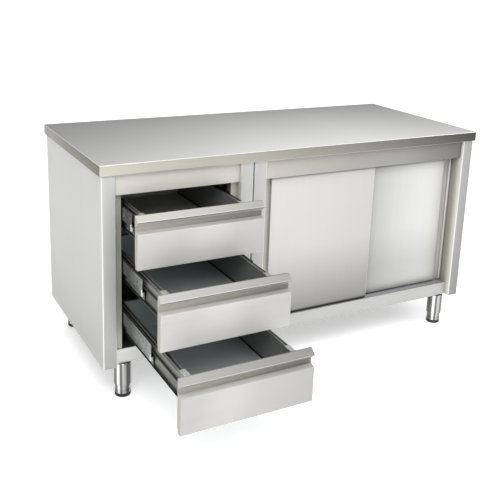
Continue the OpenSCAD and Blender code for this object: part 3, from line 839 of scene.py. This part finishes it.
def build_bottom_pan(node, left_panel, right_panel):
    """A unit's floor with its front rail, back and turned-down sides."""
    low, high = span(node)
    rail_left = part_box(left_panel)[1][0]
    rail_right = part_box(right_panel)[0][0]
    behind_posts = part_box(left_panel)[0][1] + POST_DEPTH
    rail_top = low.z + RAIL_HEIGHT
    floor = rail_top - RAIL_LIP_HEIGHT
    lip_back = low.y + HALF + RAIL_LIP_THICKNESS
    bottom = low.z + HALF
    bm = bmesh.new()
    add_fold(
        bm,
        [
            (low.y + FLANGE, bottom),
            (low.y + HALF, bottom),
            (low.y + HALF, rail_top - HALF),
            (lip_back, rail_top - HALF),
            (lip_back, floor - HALF),
            (behind_posts, floor - HALF),
        ],
        "X",
        rail_left,
        rail_right,
        PAN_BEND,
    )
    add_fold(
        bm,
        [
            (behind_posts, floor - HALF),
            (high.y - HALF, floor - HALF),
            (high.y - HALF, bottom),
            (high.y - FLANGE, bottom),
        ],
        "X",
        low.x,
        high.x,
    )
    for side, inward in ((low.x + HALF, 1), (high.x - HALF, -1)):
        add_fold(
            bm,
            [(side, floor - HALF), (side, bottom), (side + inward * FLANGE, bottom)],
            "Y",
            behind_posts,
            high.y - SHEET,
        )
    # Painted shade: behind the rail's lip the pan gets the dark pan steel; the rail's steel fades
    # along X as painted light and shade.
    piece = finish_mesh(bm, node + "_sheet", "root", MATERIALS["rail_steel"], node)
    repaint(piece, MATERIALS["pan_steel"], lambda centre, normal: centre.y > lip_back + SHEET)
    repaint(piece, MATERIALS["back_steel"], lambda centre, normal: centre.y > high.y - SHEET)


# ---- Feet ----


def build_sleeves():
    """The upper tubes of the feet, bored for the lower tubes."""
    low, high = span("foot_sleeves")
    right_low, right_high = span("foot_insert_front_right")
    radius = high.x - (right_low.x + right_high.x) / 2
    bore = radius - SLEEVE_WALL
    shoulder = high.z - SLEEVE_PLATE
    profile = [
        (bore, low.z + SLEEVE_BORE),
        (bore, low.z),
        (radius - SLEEVE_EDGE, low.z),
        (radius, low.z + SLEEVE_EDGE),
        (radius, shoulder - TURNED_EDGE),
        (radius - TURNED_EDGE, shoulder),
        (SLEEVE_NECK, shoulder),
        (SLEEVE_NECK, high.z),
    ]
    bm = bmesh.new()
    for corner in CORNERS:
        insert_low, insert_high = span("foot_insert_" + corner)
        add_turned(bm, profile, (insert_low + insert_high) / 2)
    steel = MATERIALS["foot_steel"]
    finish_mesh(bm, "foot_sleeves_turned", "root", steel, "foot_sleeves")


def build_insert(corner):
    """A foot's lower tube with its turned grooves, and the spindle on top."""
    node = "foot_insert_" + corner
    low, high = span(node)
    radius = (high.x - low.x) / 2
    waist = radius - INSERT_GROOVE_DEPTH
    profile = [(0.0, low.z), (radius - INSERT_EDGE, low.z), (radius, low.z + INSERT_EDGE)]
    for height in INSERT_GROOVES:
        z = low.z + height
        profile += [(radius, z), (waist, z + INSERT_GROOVE_SLOPE)]
        z += INSERT_GROOVE_WIDTH
        profile += [(waist, z - INSERT_GROOVE_SLOPE), (radius, z)]
    top = INSERT_TUBE_TOP
    profile += [(radius, top - TURNED_EDGE), (radius - TURNED_EDGE, top), (SPINDLE_RADIUS, top)]
    profile += [(SPINDLE_RADIUS, high.z - TURNED_EDGE), (SPINDLE_RADIUS - TURNED_EDGE, high.z)]
    profile += [(0.0, high.z)]
    bm = bmesh.new()
    add_turned(bm, profile, (low + high) / 2)
    steel = MATERIALS["foot_steel"]
    finish_mesh(bm, node + "_turned", corner + "_foot", steel, node)


def build_pad(corner):
    """A foot's plastic base with a round lower edge."""
    node = "foot_pad_" + corner
    low, high = span(node)
    radius = (high.x - low.x) / 2
    flat = radius - PAD_ROUND
    profile = [(0.0, low.z), (flat, low.z)]
    profile += arc((flat, low.z + PAD_ROUND), PAD_ROUND, 270, 360)
    profile += [(radius, high.z - TURNED_EDGE), (radius - TURNED_EDGE, high.z), (0.0, high.z)]
    bm = bmesh.new()
    add_turned(bm, profile, (low + high) / 2)
    plastic = MATERIALS["black_plastic"]
    finish_mesh(bm, node + "_moulded", corner + "_foot", plastic, node)


# ---- Drawers ----


def front_outline(low, high):
    """Section of a drawer's front: face, ledge, finger groove, rounded nose and sloping lip."""
    y = low.y
    face_top = high.z - HEAD_HEIGHT
    groove_back = y + FRONT_DEPTH
    nose = (y + NOSE_RADIUS, high.z - NOSE_DROP)
    lower = [
        (groove_back, low.z),
        (y, low.z),
        (y, face_top),
        (groove_back, face_top + LEDGE_RISE),
        (groove_back, face_top + GROOVE_HEIGHT),
        (nose[0] + NOSE_UNDERSIDE, nose[1] - NOSE_RADIUS),
    ]
    outline = rounded(lower, FRONT_BEND)[:-1]
    outline += [Vector(p) for p in arc(nose, NOSE_RADIUS, 262, 118, 8)]
    upper = [
        (groove_back - NOSE_BACK, high.z),
        (high.y, high.z),
        (high.y, low.z + FRONT_RETURN),
        (groove_back, low.z + FRONT_RETURN),
    ]
    outline += [Vector(p) for p in upper]
    return outline


def build_drawer_front(drawer):
    """A drawer's front, with painted light and shade for each part of its head."""
    node = drawer + "_drawer_front"
    low, high = span(node)
    bm = bmesh.new()
    add_extrusion(bm, front_outline(low, high), "X", low.x, high.x, FRONT_EDGE)
    steel = MATERIALS["front_steel"]
    piece = finish_mesh(bm, node + "_folded", drawer + "_drawer", steel, node)
    face_top = high.z - HEAD_HEIGHT
    nose_bottom = high.z - NOSE_DROP - NOSE_RADIUS
    groove_back = low.y + FRONT_DEPTH

    def on_ledge(centre, normal):
        along = low.y + FRONT_BEND < centre.y < groove_back - FRONT_BEND
        return along and face_top - SLACK < centre.z < face_top + LEDGE_RISE

    def in_groove(centre, normal):
        along = groove_back - FRONT_BEND <= centre.y < high.y - HALF
        return along and face_top < centre.z < nose_bottom + SLACK / 2

    def under_nose(centre, normal):
        along = centre.y < high.y - 2 * SHEET
        return along and centre.z > nose_bottom - SLACK and normal.z < -TILTED

    def on_lip(centre, normal):
        return centre.z > nose_bottom and normal.z > TILTED and centre.y < groove_back - SHEET

    def on_top(centre, normal):
        behind = centre.y > groove_back - SHEET
        return behind and centre.z > high.z - SHEET and normal.z > LYING

    def on_end(centre, normal):
        return abs(normal.x) > ON_END

    def on_bottom_bend(centre, normal):
        low_down = centre.z < low.z + FRONT_FOOT
        return low_down and normal.z < -TURNED_DOWN and abs(normal.x) < ON_END

    # Painted light and shade: darker ends, ledge, groove, lip and top behind the lip, a painted
    # shadow under the nose, and a painted highlight along the bottom bend.
    repaint(piece, MATERIALS["front_end_steel"], on_end)
    repaint(piece, MATERIALS["painted_highlight"], on_bottom_bend)
    repaint(piece, MATERIALS["ledge_steel"], on_ledge)
    repaint(piece, MATERIALS["groove_steel"], in_groove)
    repaint(piece, MATERIALS["shadow_steel"], under_nose)
    repaint(piece, MATERIALS["lip_steel"], on_lip)
    repaint(piece, MATERIALS["groove_steel"], on_top)


def build_tray(drawer):
    """A drawer's tray: skirted sides with two beads, a folded rim and strips on its front corners."""
    node = drawer + "_drawer_tray"
    low, high = span(node)
    strip_width, strip_length, strip_height = TRAY_STRIP
    rim = high.z - strip_height
    skirt = rim - TRAY_SKIRT_HEIGHT
    floor = low.z + SHEET
    line = TRAY_WALL - TRAY_RIM_LINE

    def outer(inset, z):
        x0, x1 = low.x + inset, high.x - inset
        return ring(x0, x1, low.y + inset, high.y - inset, TRAY_CORNER - inset, z)

    def pan(inset, z):
        x0, x1 = low.x + TRAY_WALL + inset, high.x - TRAY_WALL - inset
        y0, y1 = low.y + TRAY_FRONT_GAP + inset, high.y - TRAY_WALL - inset
        return ring(x0, x1, y0, y1, TRAY_CORNER - inset, z)

    rings = [pan(TRAY_BEND, low.z), pan(TRAY_KNEE, low.z + TRAY_KNEE), pan(0, low.z + TRAY_BEND)]
    rings += [pan(0, rim - SHEET - TRAY_CHAMFER), outer(SHEET, rim - SHEET)]
    rings += [outer(SHEET, skirt), outer(0, skirt)]
    for height in TRAY_BEADS:
        z = skirt + height
        rings += [outer(0, z), outer(TRAY_BEAD_DEPTH, z + TRAY_BEAD_SLOPE)]
        z += TRAY_BEAD_HEIGHT
        rings += [outer(TRAY_BEAD_DEPTH, z - TRAY_BEAD_SLOPE), outer(0, z)]
    for inset, drop in arc((TRAY_EDGE, -TRAY_EDGE), TRAY_EDGE, 180, 90, 4):
        rings.append(outer(inset, rim + drop))
    x0, x1 = low.x + line, high.x - line
    rings.append(ring(x0, x1, low.y + TRAY_RIM_FRONT, high.y - line, TRAY_CORNER, rim))
    for inset, drop in arc((SHEET - TRAY_EDGE, -TRAY_EDGE), TRAY_EDGE, 90, 0, 4):
        rings.append(pan(inset, rim + drop))
    for inset, rise in arc((SHEET + TRAY_BEND, TRAY_BEND), TRAY_BEND, 180, 270, 5):
        rings.append(pan(inset, floor + rise))
    bm = bmesh.new()
    add_loft(bm, rings)
    strip_edge = strip_height - TRAY_STRIP_EDGE
    for x in (low.x, high.x - strip_width):
        strip = []
        for inset, rise in ((0, 0), (0, strip_edge), (TRAY_STRIP_EDGE, strip_height)):
            x0, x1 = x + inset, x + strip_width - inset
            y0, y1 = low.y + inset, low.y + strip_length - inset
            strip.append(ring(x0, x1, y0, y1, TRAY_STRIP_CORNER, rim + rise))
        add_loft(bm, strip)
    # Painted light: the top drawer's tray gets the lighter copy, standing in for the light that
    # reaches into it.
    steel = MATERIALS["top_tray_steel" if drawer == "top" else "tray_steel"]
    piece = finish_mesh(bm, node + "_pressed", drawer + "_drawer", steel, node)

    inner_low = low.x + TRAY_WALL + SHEET
    inner_high = high.x - TRAY_WALL - SHEET
    nearest, farthest = TRAY_INSIDE_DEPTH
    rim_fold = rim - TRAY_EDGE + HAIR
    slide_top = skirt + TRAY_BEADS[1] + TRAY_BEAD_HEIGHT + HAIR

    def from_outside(centre):
        return min(centre.x - low.x, high.x - centre.x)

    def from_inside(centre):
        return min(centre.x - inner_low, inner_high - centre.x)

    def on_outer_wall(centre, normal):
        return centre.z > skirt and from_outside(centre) < TRAY_OUTSIDE_DEPTH

    def above_slide(centre, normal):
        return on_outer_wall(centre, normal) and centre.z > slide_top

    def on_inner_wall(centre, normal):
        level = floor + TRAY_BEND < centre.z < rim_fold
        return level and nearest < from_inside(centre) < farthest

    def in_floor_bend(centre, normal):
        level = floor < centre.z < floor + TRAY_BEND
        return level and 0 < from_inside(centre) < TRAY_BEND and abs(normal.x) > CREASED

    def on_rim(centre, normal):
        return centre.z > rim_fold

    def in_painted_rim_shadow(centre, normal):
        return centre.z > rim - HAIR and normal.z > FACING and from_outside(centre) < line

    def on_strip(centre, normal):
        return centre.z > rim + HAIR

    stops = [(low.y + distance, factor) for distance, factor in UPPER_WALL_SHADOW]
    fades = ((ALONG_Y, stops),)
    upper_wall = brushed_steel(drawer + "_wall_steel", fades=fades, **UPPER_WALL)
    # Painted shade: the outer walls, inner walls and rim get darker copies of the tray steel.
    repaint(piece, MATERIALS["wall_steel"], on_outer_wall)
    # Painted shadow on the outer walls above the slides, beyond the front.
    repaint(piece, upper_wall, above_slide)
    repaint(piece, MATERIALS["inner_wall_steel"], on_inner_wall)
    # Painted shade: a dark line along the bend between the floor and the inner walls.
    repaint(piece, MATERIALS["crease_shade_steel"], in_floor_bend)
    repaint(piece, MATERIALS["wall_steel"], on_rim)
    # Painted shadow along the outer band of the flat rim.
    repaint(piece, MATERIALS["rim_shadow_steel"], in_painted_rim_shadow)
    repaint(piece, MATERIALS["rim_steel"], on_strip)


# ---- Doors ----


def build_door_skin(door, hand):
    """A door's face with its grip channel. Hand is -1 for a channel at the left, +1 at the right."""
    node = door + "_skin"
    low, high = span(node)
    outer = low.x if hand < 0 else high.x
    other = high.x if hand < 0 else low.x
    face = low.y + HALF
    back = high.y - HALF
    channel_back = low.y + DOOR_GRIP_DEPTH

    def inward(distance):
        return outer - hand * distance

    points = [
        (inward(HALF), back),
        (inward(HALF), face),
        (inward(DOOR_GRIP_EDGE), face),
        (inward(DOOR_GRIP_EDGE), channel_back),
        (inward(DOOR_GRIP_EDGE + DOOR_GRIP_WIDTH), channel_back),
        (inward(DOOR_GRIP_EDGE + DOOR_GRIP_WIDTH), face),
        (other + hand * HALF, face),
        (other + hand * HALF, back),
    ]
    bm = bmesh.new()
    add_fold(bm, points, "Z", low.z, high.z, DOOR_BEND)
    body_from = inward(DOOR_GRIP_EDGE + DOOR_GRIP_WIDTH + SHEET)
    body_to = other + hand * SHEET
    for z in (low.z + HALF, high.z - HALF):
        add_fold(
            bm,
            [(low.y + SHEET, z), (high.y - SHEET, z)],
            "X",
            min(body_from, body_to),
            max(body_from, body_to),
        )
    piece = finish_mesh(bm, node + "_folded", door, MATERIALS[door + "_steel"], node)
    channel = sorted((inward(DOOR_GRIP_EDGE), inward(DOOR_GRIP_EDGE + DOOR_GRIP_WIDTH)))

    def in_channel(centre, normal):
        return channel[0] < centre.x < channel[1] and centre.y > low.y + SHEET

    plain_edge = other + hand * BEND

    def on_plain_edge(centre, normal):
        return (centre.x - plain_edge) * hand < 0 and abs(normal.x) > TILTED

    # Painted light and shade: the grip channel gets a darker steel as painted shade in the recess,
    # and the plain edge a painted highlight.
    repaint(piece, MATERIALS["channel_steel"], in_channel)
    repaint(piece, MATERIALS["painted_highlight"], on_plain_edge)


# ---- CAD nodes whose shape is right ----

# Nodes that look different from the others with their material slot.
FINISHES = {
    "drawer_unit_back": "back_steel",
    "cupboard_back": "back_steel",
    "slide_uprights": "upright_steel",
    "top_drawer_slides": "zinc_steel",
    "middle_drawer_slides": "zinc_steel",
    "bottom_drawer_slides": "zinc_steel",
}


def in_round_hole(centre, normal):
    """True on the wall of a hole along X in a part that is otherwise square to the axes."""
    return abs(normal.x) < 0.1 and 0.05 < abs(normal.y) < 0.98


def finish_cad_nodes():
    """Gives every CAD node that isn't replaced its finish and softened edges."""
    slots = {s["node"]: s["material_slot"] for s in frame["record"]["subparts"]}
    for name, obj in frame["nodes"].items():
        if obj.hide_render:
            continue
        material = MATERIALS[FINISHES.get(name, slots[name])]
        obj.data.materials.clear()
        obj.data.materials.append(material)
        # Painted shadow: the walls of the holes in the mid slides get the black plastic, so the holes
        # read dark.
        if name.endswith("_mid_slides"):
            repaint(obj, MATERIALS["black_plastic"], in_round_hole)
        weld = obj.modifiers.new("weld", "WELD")
        weld.merge_threshold = CAD_WELD
        bevel = obj.modifiers.new("edges", "BEVEL")
        bevel.width = CAD_EDGE
        bevel.segments = 2
        bevel.limit_method = "ANGLE"
        bevel.angle_limit = math.radians(CAD_EDGE_ANGLE)


build_worktop()
build_side_panel("left_side_panel", 1)
build_side_panel("drawer_unit_inner_side", -1)
build_side_panel("cupboard_inner_side", 1)
build_side_panel("right_side_panel", -1)
build_fascia("drawer_fascia")
build_fascia("cupboard_fascia")
build_bottom_pan("drawer_unit_bottom", "left_side_panel", "drawer_unit_inner_side")
build_bottom_pan("cupboard_bottom", "cupboard_inner_side", "right_side_panel")
build_sleeves()
for corner in CORNERS:
    build_insert(corner)
    build_pad(corner)
for drawer in DRAWERS:
    build_drawer_front(drawer)
    build_tray(drawer)
build_door_skin("front_door", -1)
build_door_skin("rear_door", 1)
finish_cad_nodes()

# ---- Floor, light and camera ----

top_low, top_high = span("worktop_skin")
TABLE = Vector(((top_low.x + top_high.x) / 2, (top_low.y + top_high.y) / 2, 0))


def build_floor():
    """A pale floor that glows a little, so that it renders white."""
    material, tree, shader = new_material("studio_floor")
    cloud = object_noise(tree, FLOOR_CLOUD, 3)
    colour = tinted(tree, cloud, (FLOOR_TONE, FLOOR_TONE, FLOOR_TONE), 0.02)
    tree.links.new(colour, shader.inputs["Base Color"])
    shader.inputs["Roughness"].default_value = 0.9
    shader.inputs["Emission Color"].default_value = (1, 1, 1, 1)
    shader.inputs["Emission Strength"].default_value = FLOOR_GLOW
    near, far = -FLOOR_REACH, FLOOR_REACH
    corners = [(near, near, 0), (far, near, 0), (far, far, 0), (near, far, 0)]
    mesh = bpy.data.meshes.new("studio_floor")
    mesh.from_pydata(corners, [], [(0, 1, 2, 3)])
    mesh.materials.append(material)
    floor = bpy.data.objects.new("studio_floor", mesh)
    bpy.context.scene.collection.objects.link(floor)


def build_world():
    """A pale studio: light above, a darker wall low down, and a bright line along the floor."""
    world = bpy.data.worlds.new("studio")
    bpy.context.scene.world = world
    world.use_nodes = True
    tree = world.node_tree
    background = tree.nodes["Background"]
    coordinates = tree.nodes.new("ShaderNodeTexCoord")
    split = tree.nodes.new("ShaderNodeSeparateXYZ")
    tree.links.new(coordinates.outputs["Generated"], split.inputs["Vector"])
    sky = ramp(tree, split.outputs["Z"], [(height, (tone, tone, tone)) for height, tone in SKY])
    tree.links.new(sky, background.inputs["Color"])
    background.inputs["Strength"].default_value = 1.0


def add_softbox(name, place, width, height, power):
    """An area light that faces the table."""
    light = bpy.data.lights.new(name, "AREA")
    light.shape = "RECTANGLE"
    light.size = width
    light.size_y = height
    light.energy = power
    lamp = bpy.data.objects.new(name, light)
    bpy.context.scene.collection.objects.link(lamp)
    lamp.location = TABLE + Vector(place)
    aim = TABLE + Vector(LIGHT_TARGET) - lamp.location
    lamp.rotation_mode = "QUATERNION"
    lamp.rotation_quaternion = aim.to_track_quat("-Z", "Y")


def build_camera():
    """Looks down on the table's left front corner from above the worktop."""
    yaw, pitch, roll = (math.radians(a) for a in (CAMERA_YAW, CAMERA_PITCH, CAMERA_ROLL))
    level = math.cos(pitch)
    forward = Vector((math.sin(yaw) * level, math.cos(yaw) * level, math.sin(pitch)))
    level_right = Vector((math.cos(yaw), -math.sin(yaw), 0))
    level_up = level_right.cross(forward)
    right = level_right * math.cos(roll) + level_up * math.sin(roll)
    up = level_up * math.cos(roll) - level_right * math.sin(roll)
    data = bpy.data.cameras.new("camera")
    data.sensor_width = CAMERA_SENSOR
    data.lens = CAMERA_LENS
    data.shift_y = CAMERA_SHIFT
    data.clip_end = CAMERA_REACH
    camera = bpy.data.objects.new("camera", data)
    bpy.context.scene.collection.objects.link(camera)
    axes = Matrix((right, up, -forward)).transposed().to_4x4()
    camera.matrix_world = Matrix.Translation(TABLE + Vector(CAMERA_PLACE)) @ axes
    bpy.context.scene.camera = camera


build_floor()
build_world()
for softbox in SOFTBOXES:
    add_softbox(**softbox)
bpy.context.scene.view_settings.view_transform = "Standard"
build_camera()
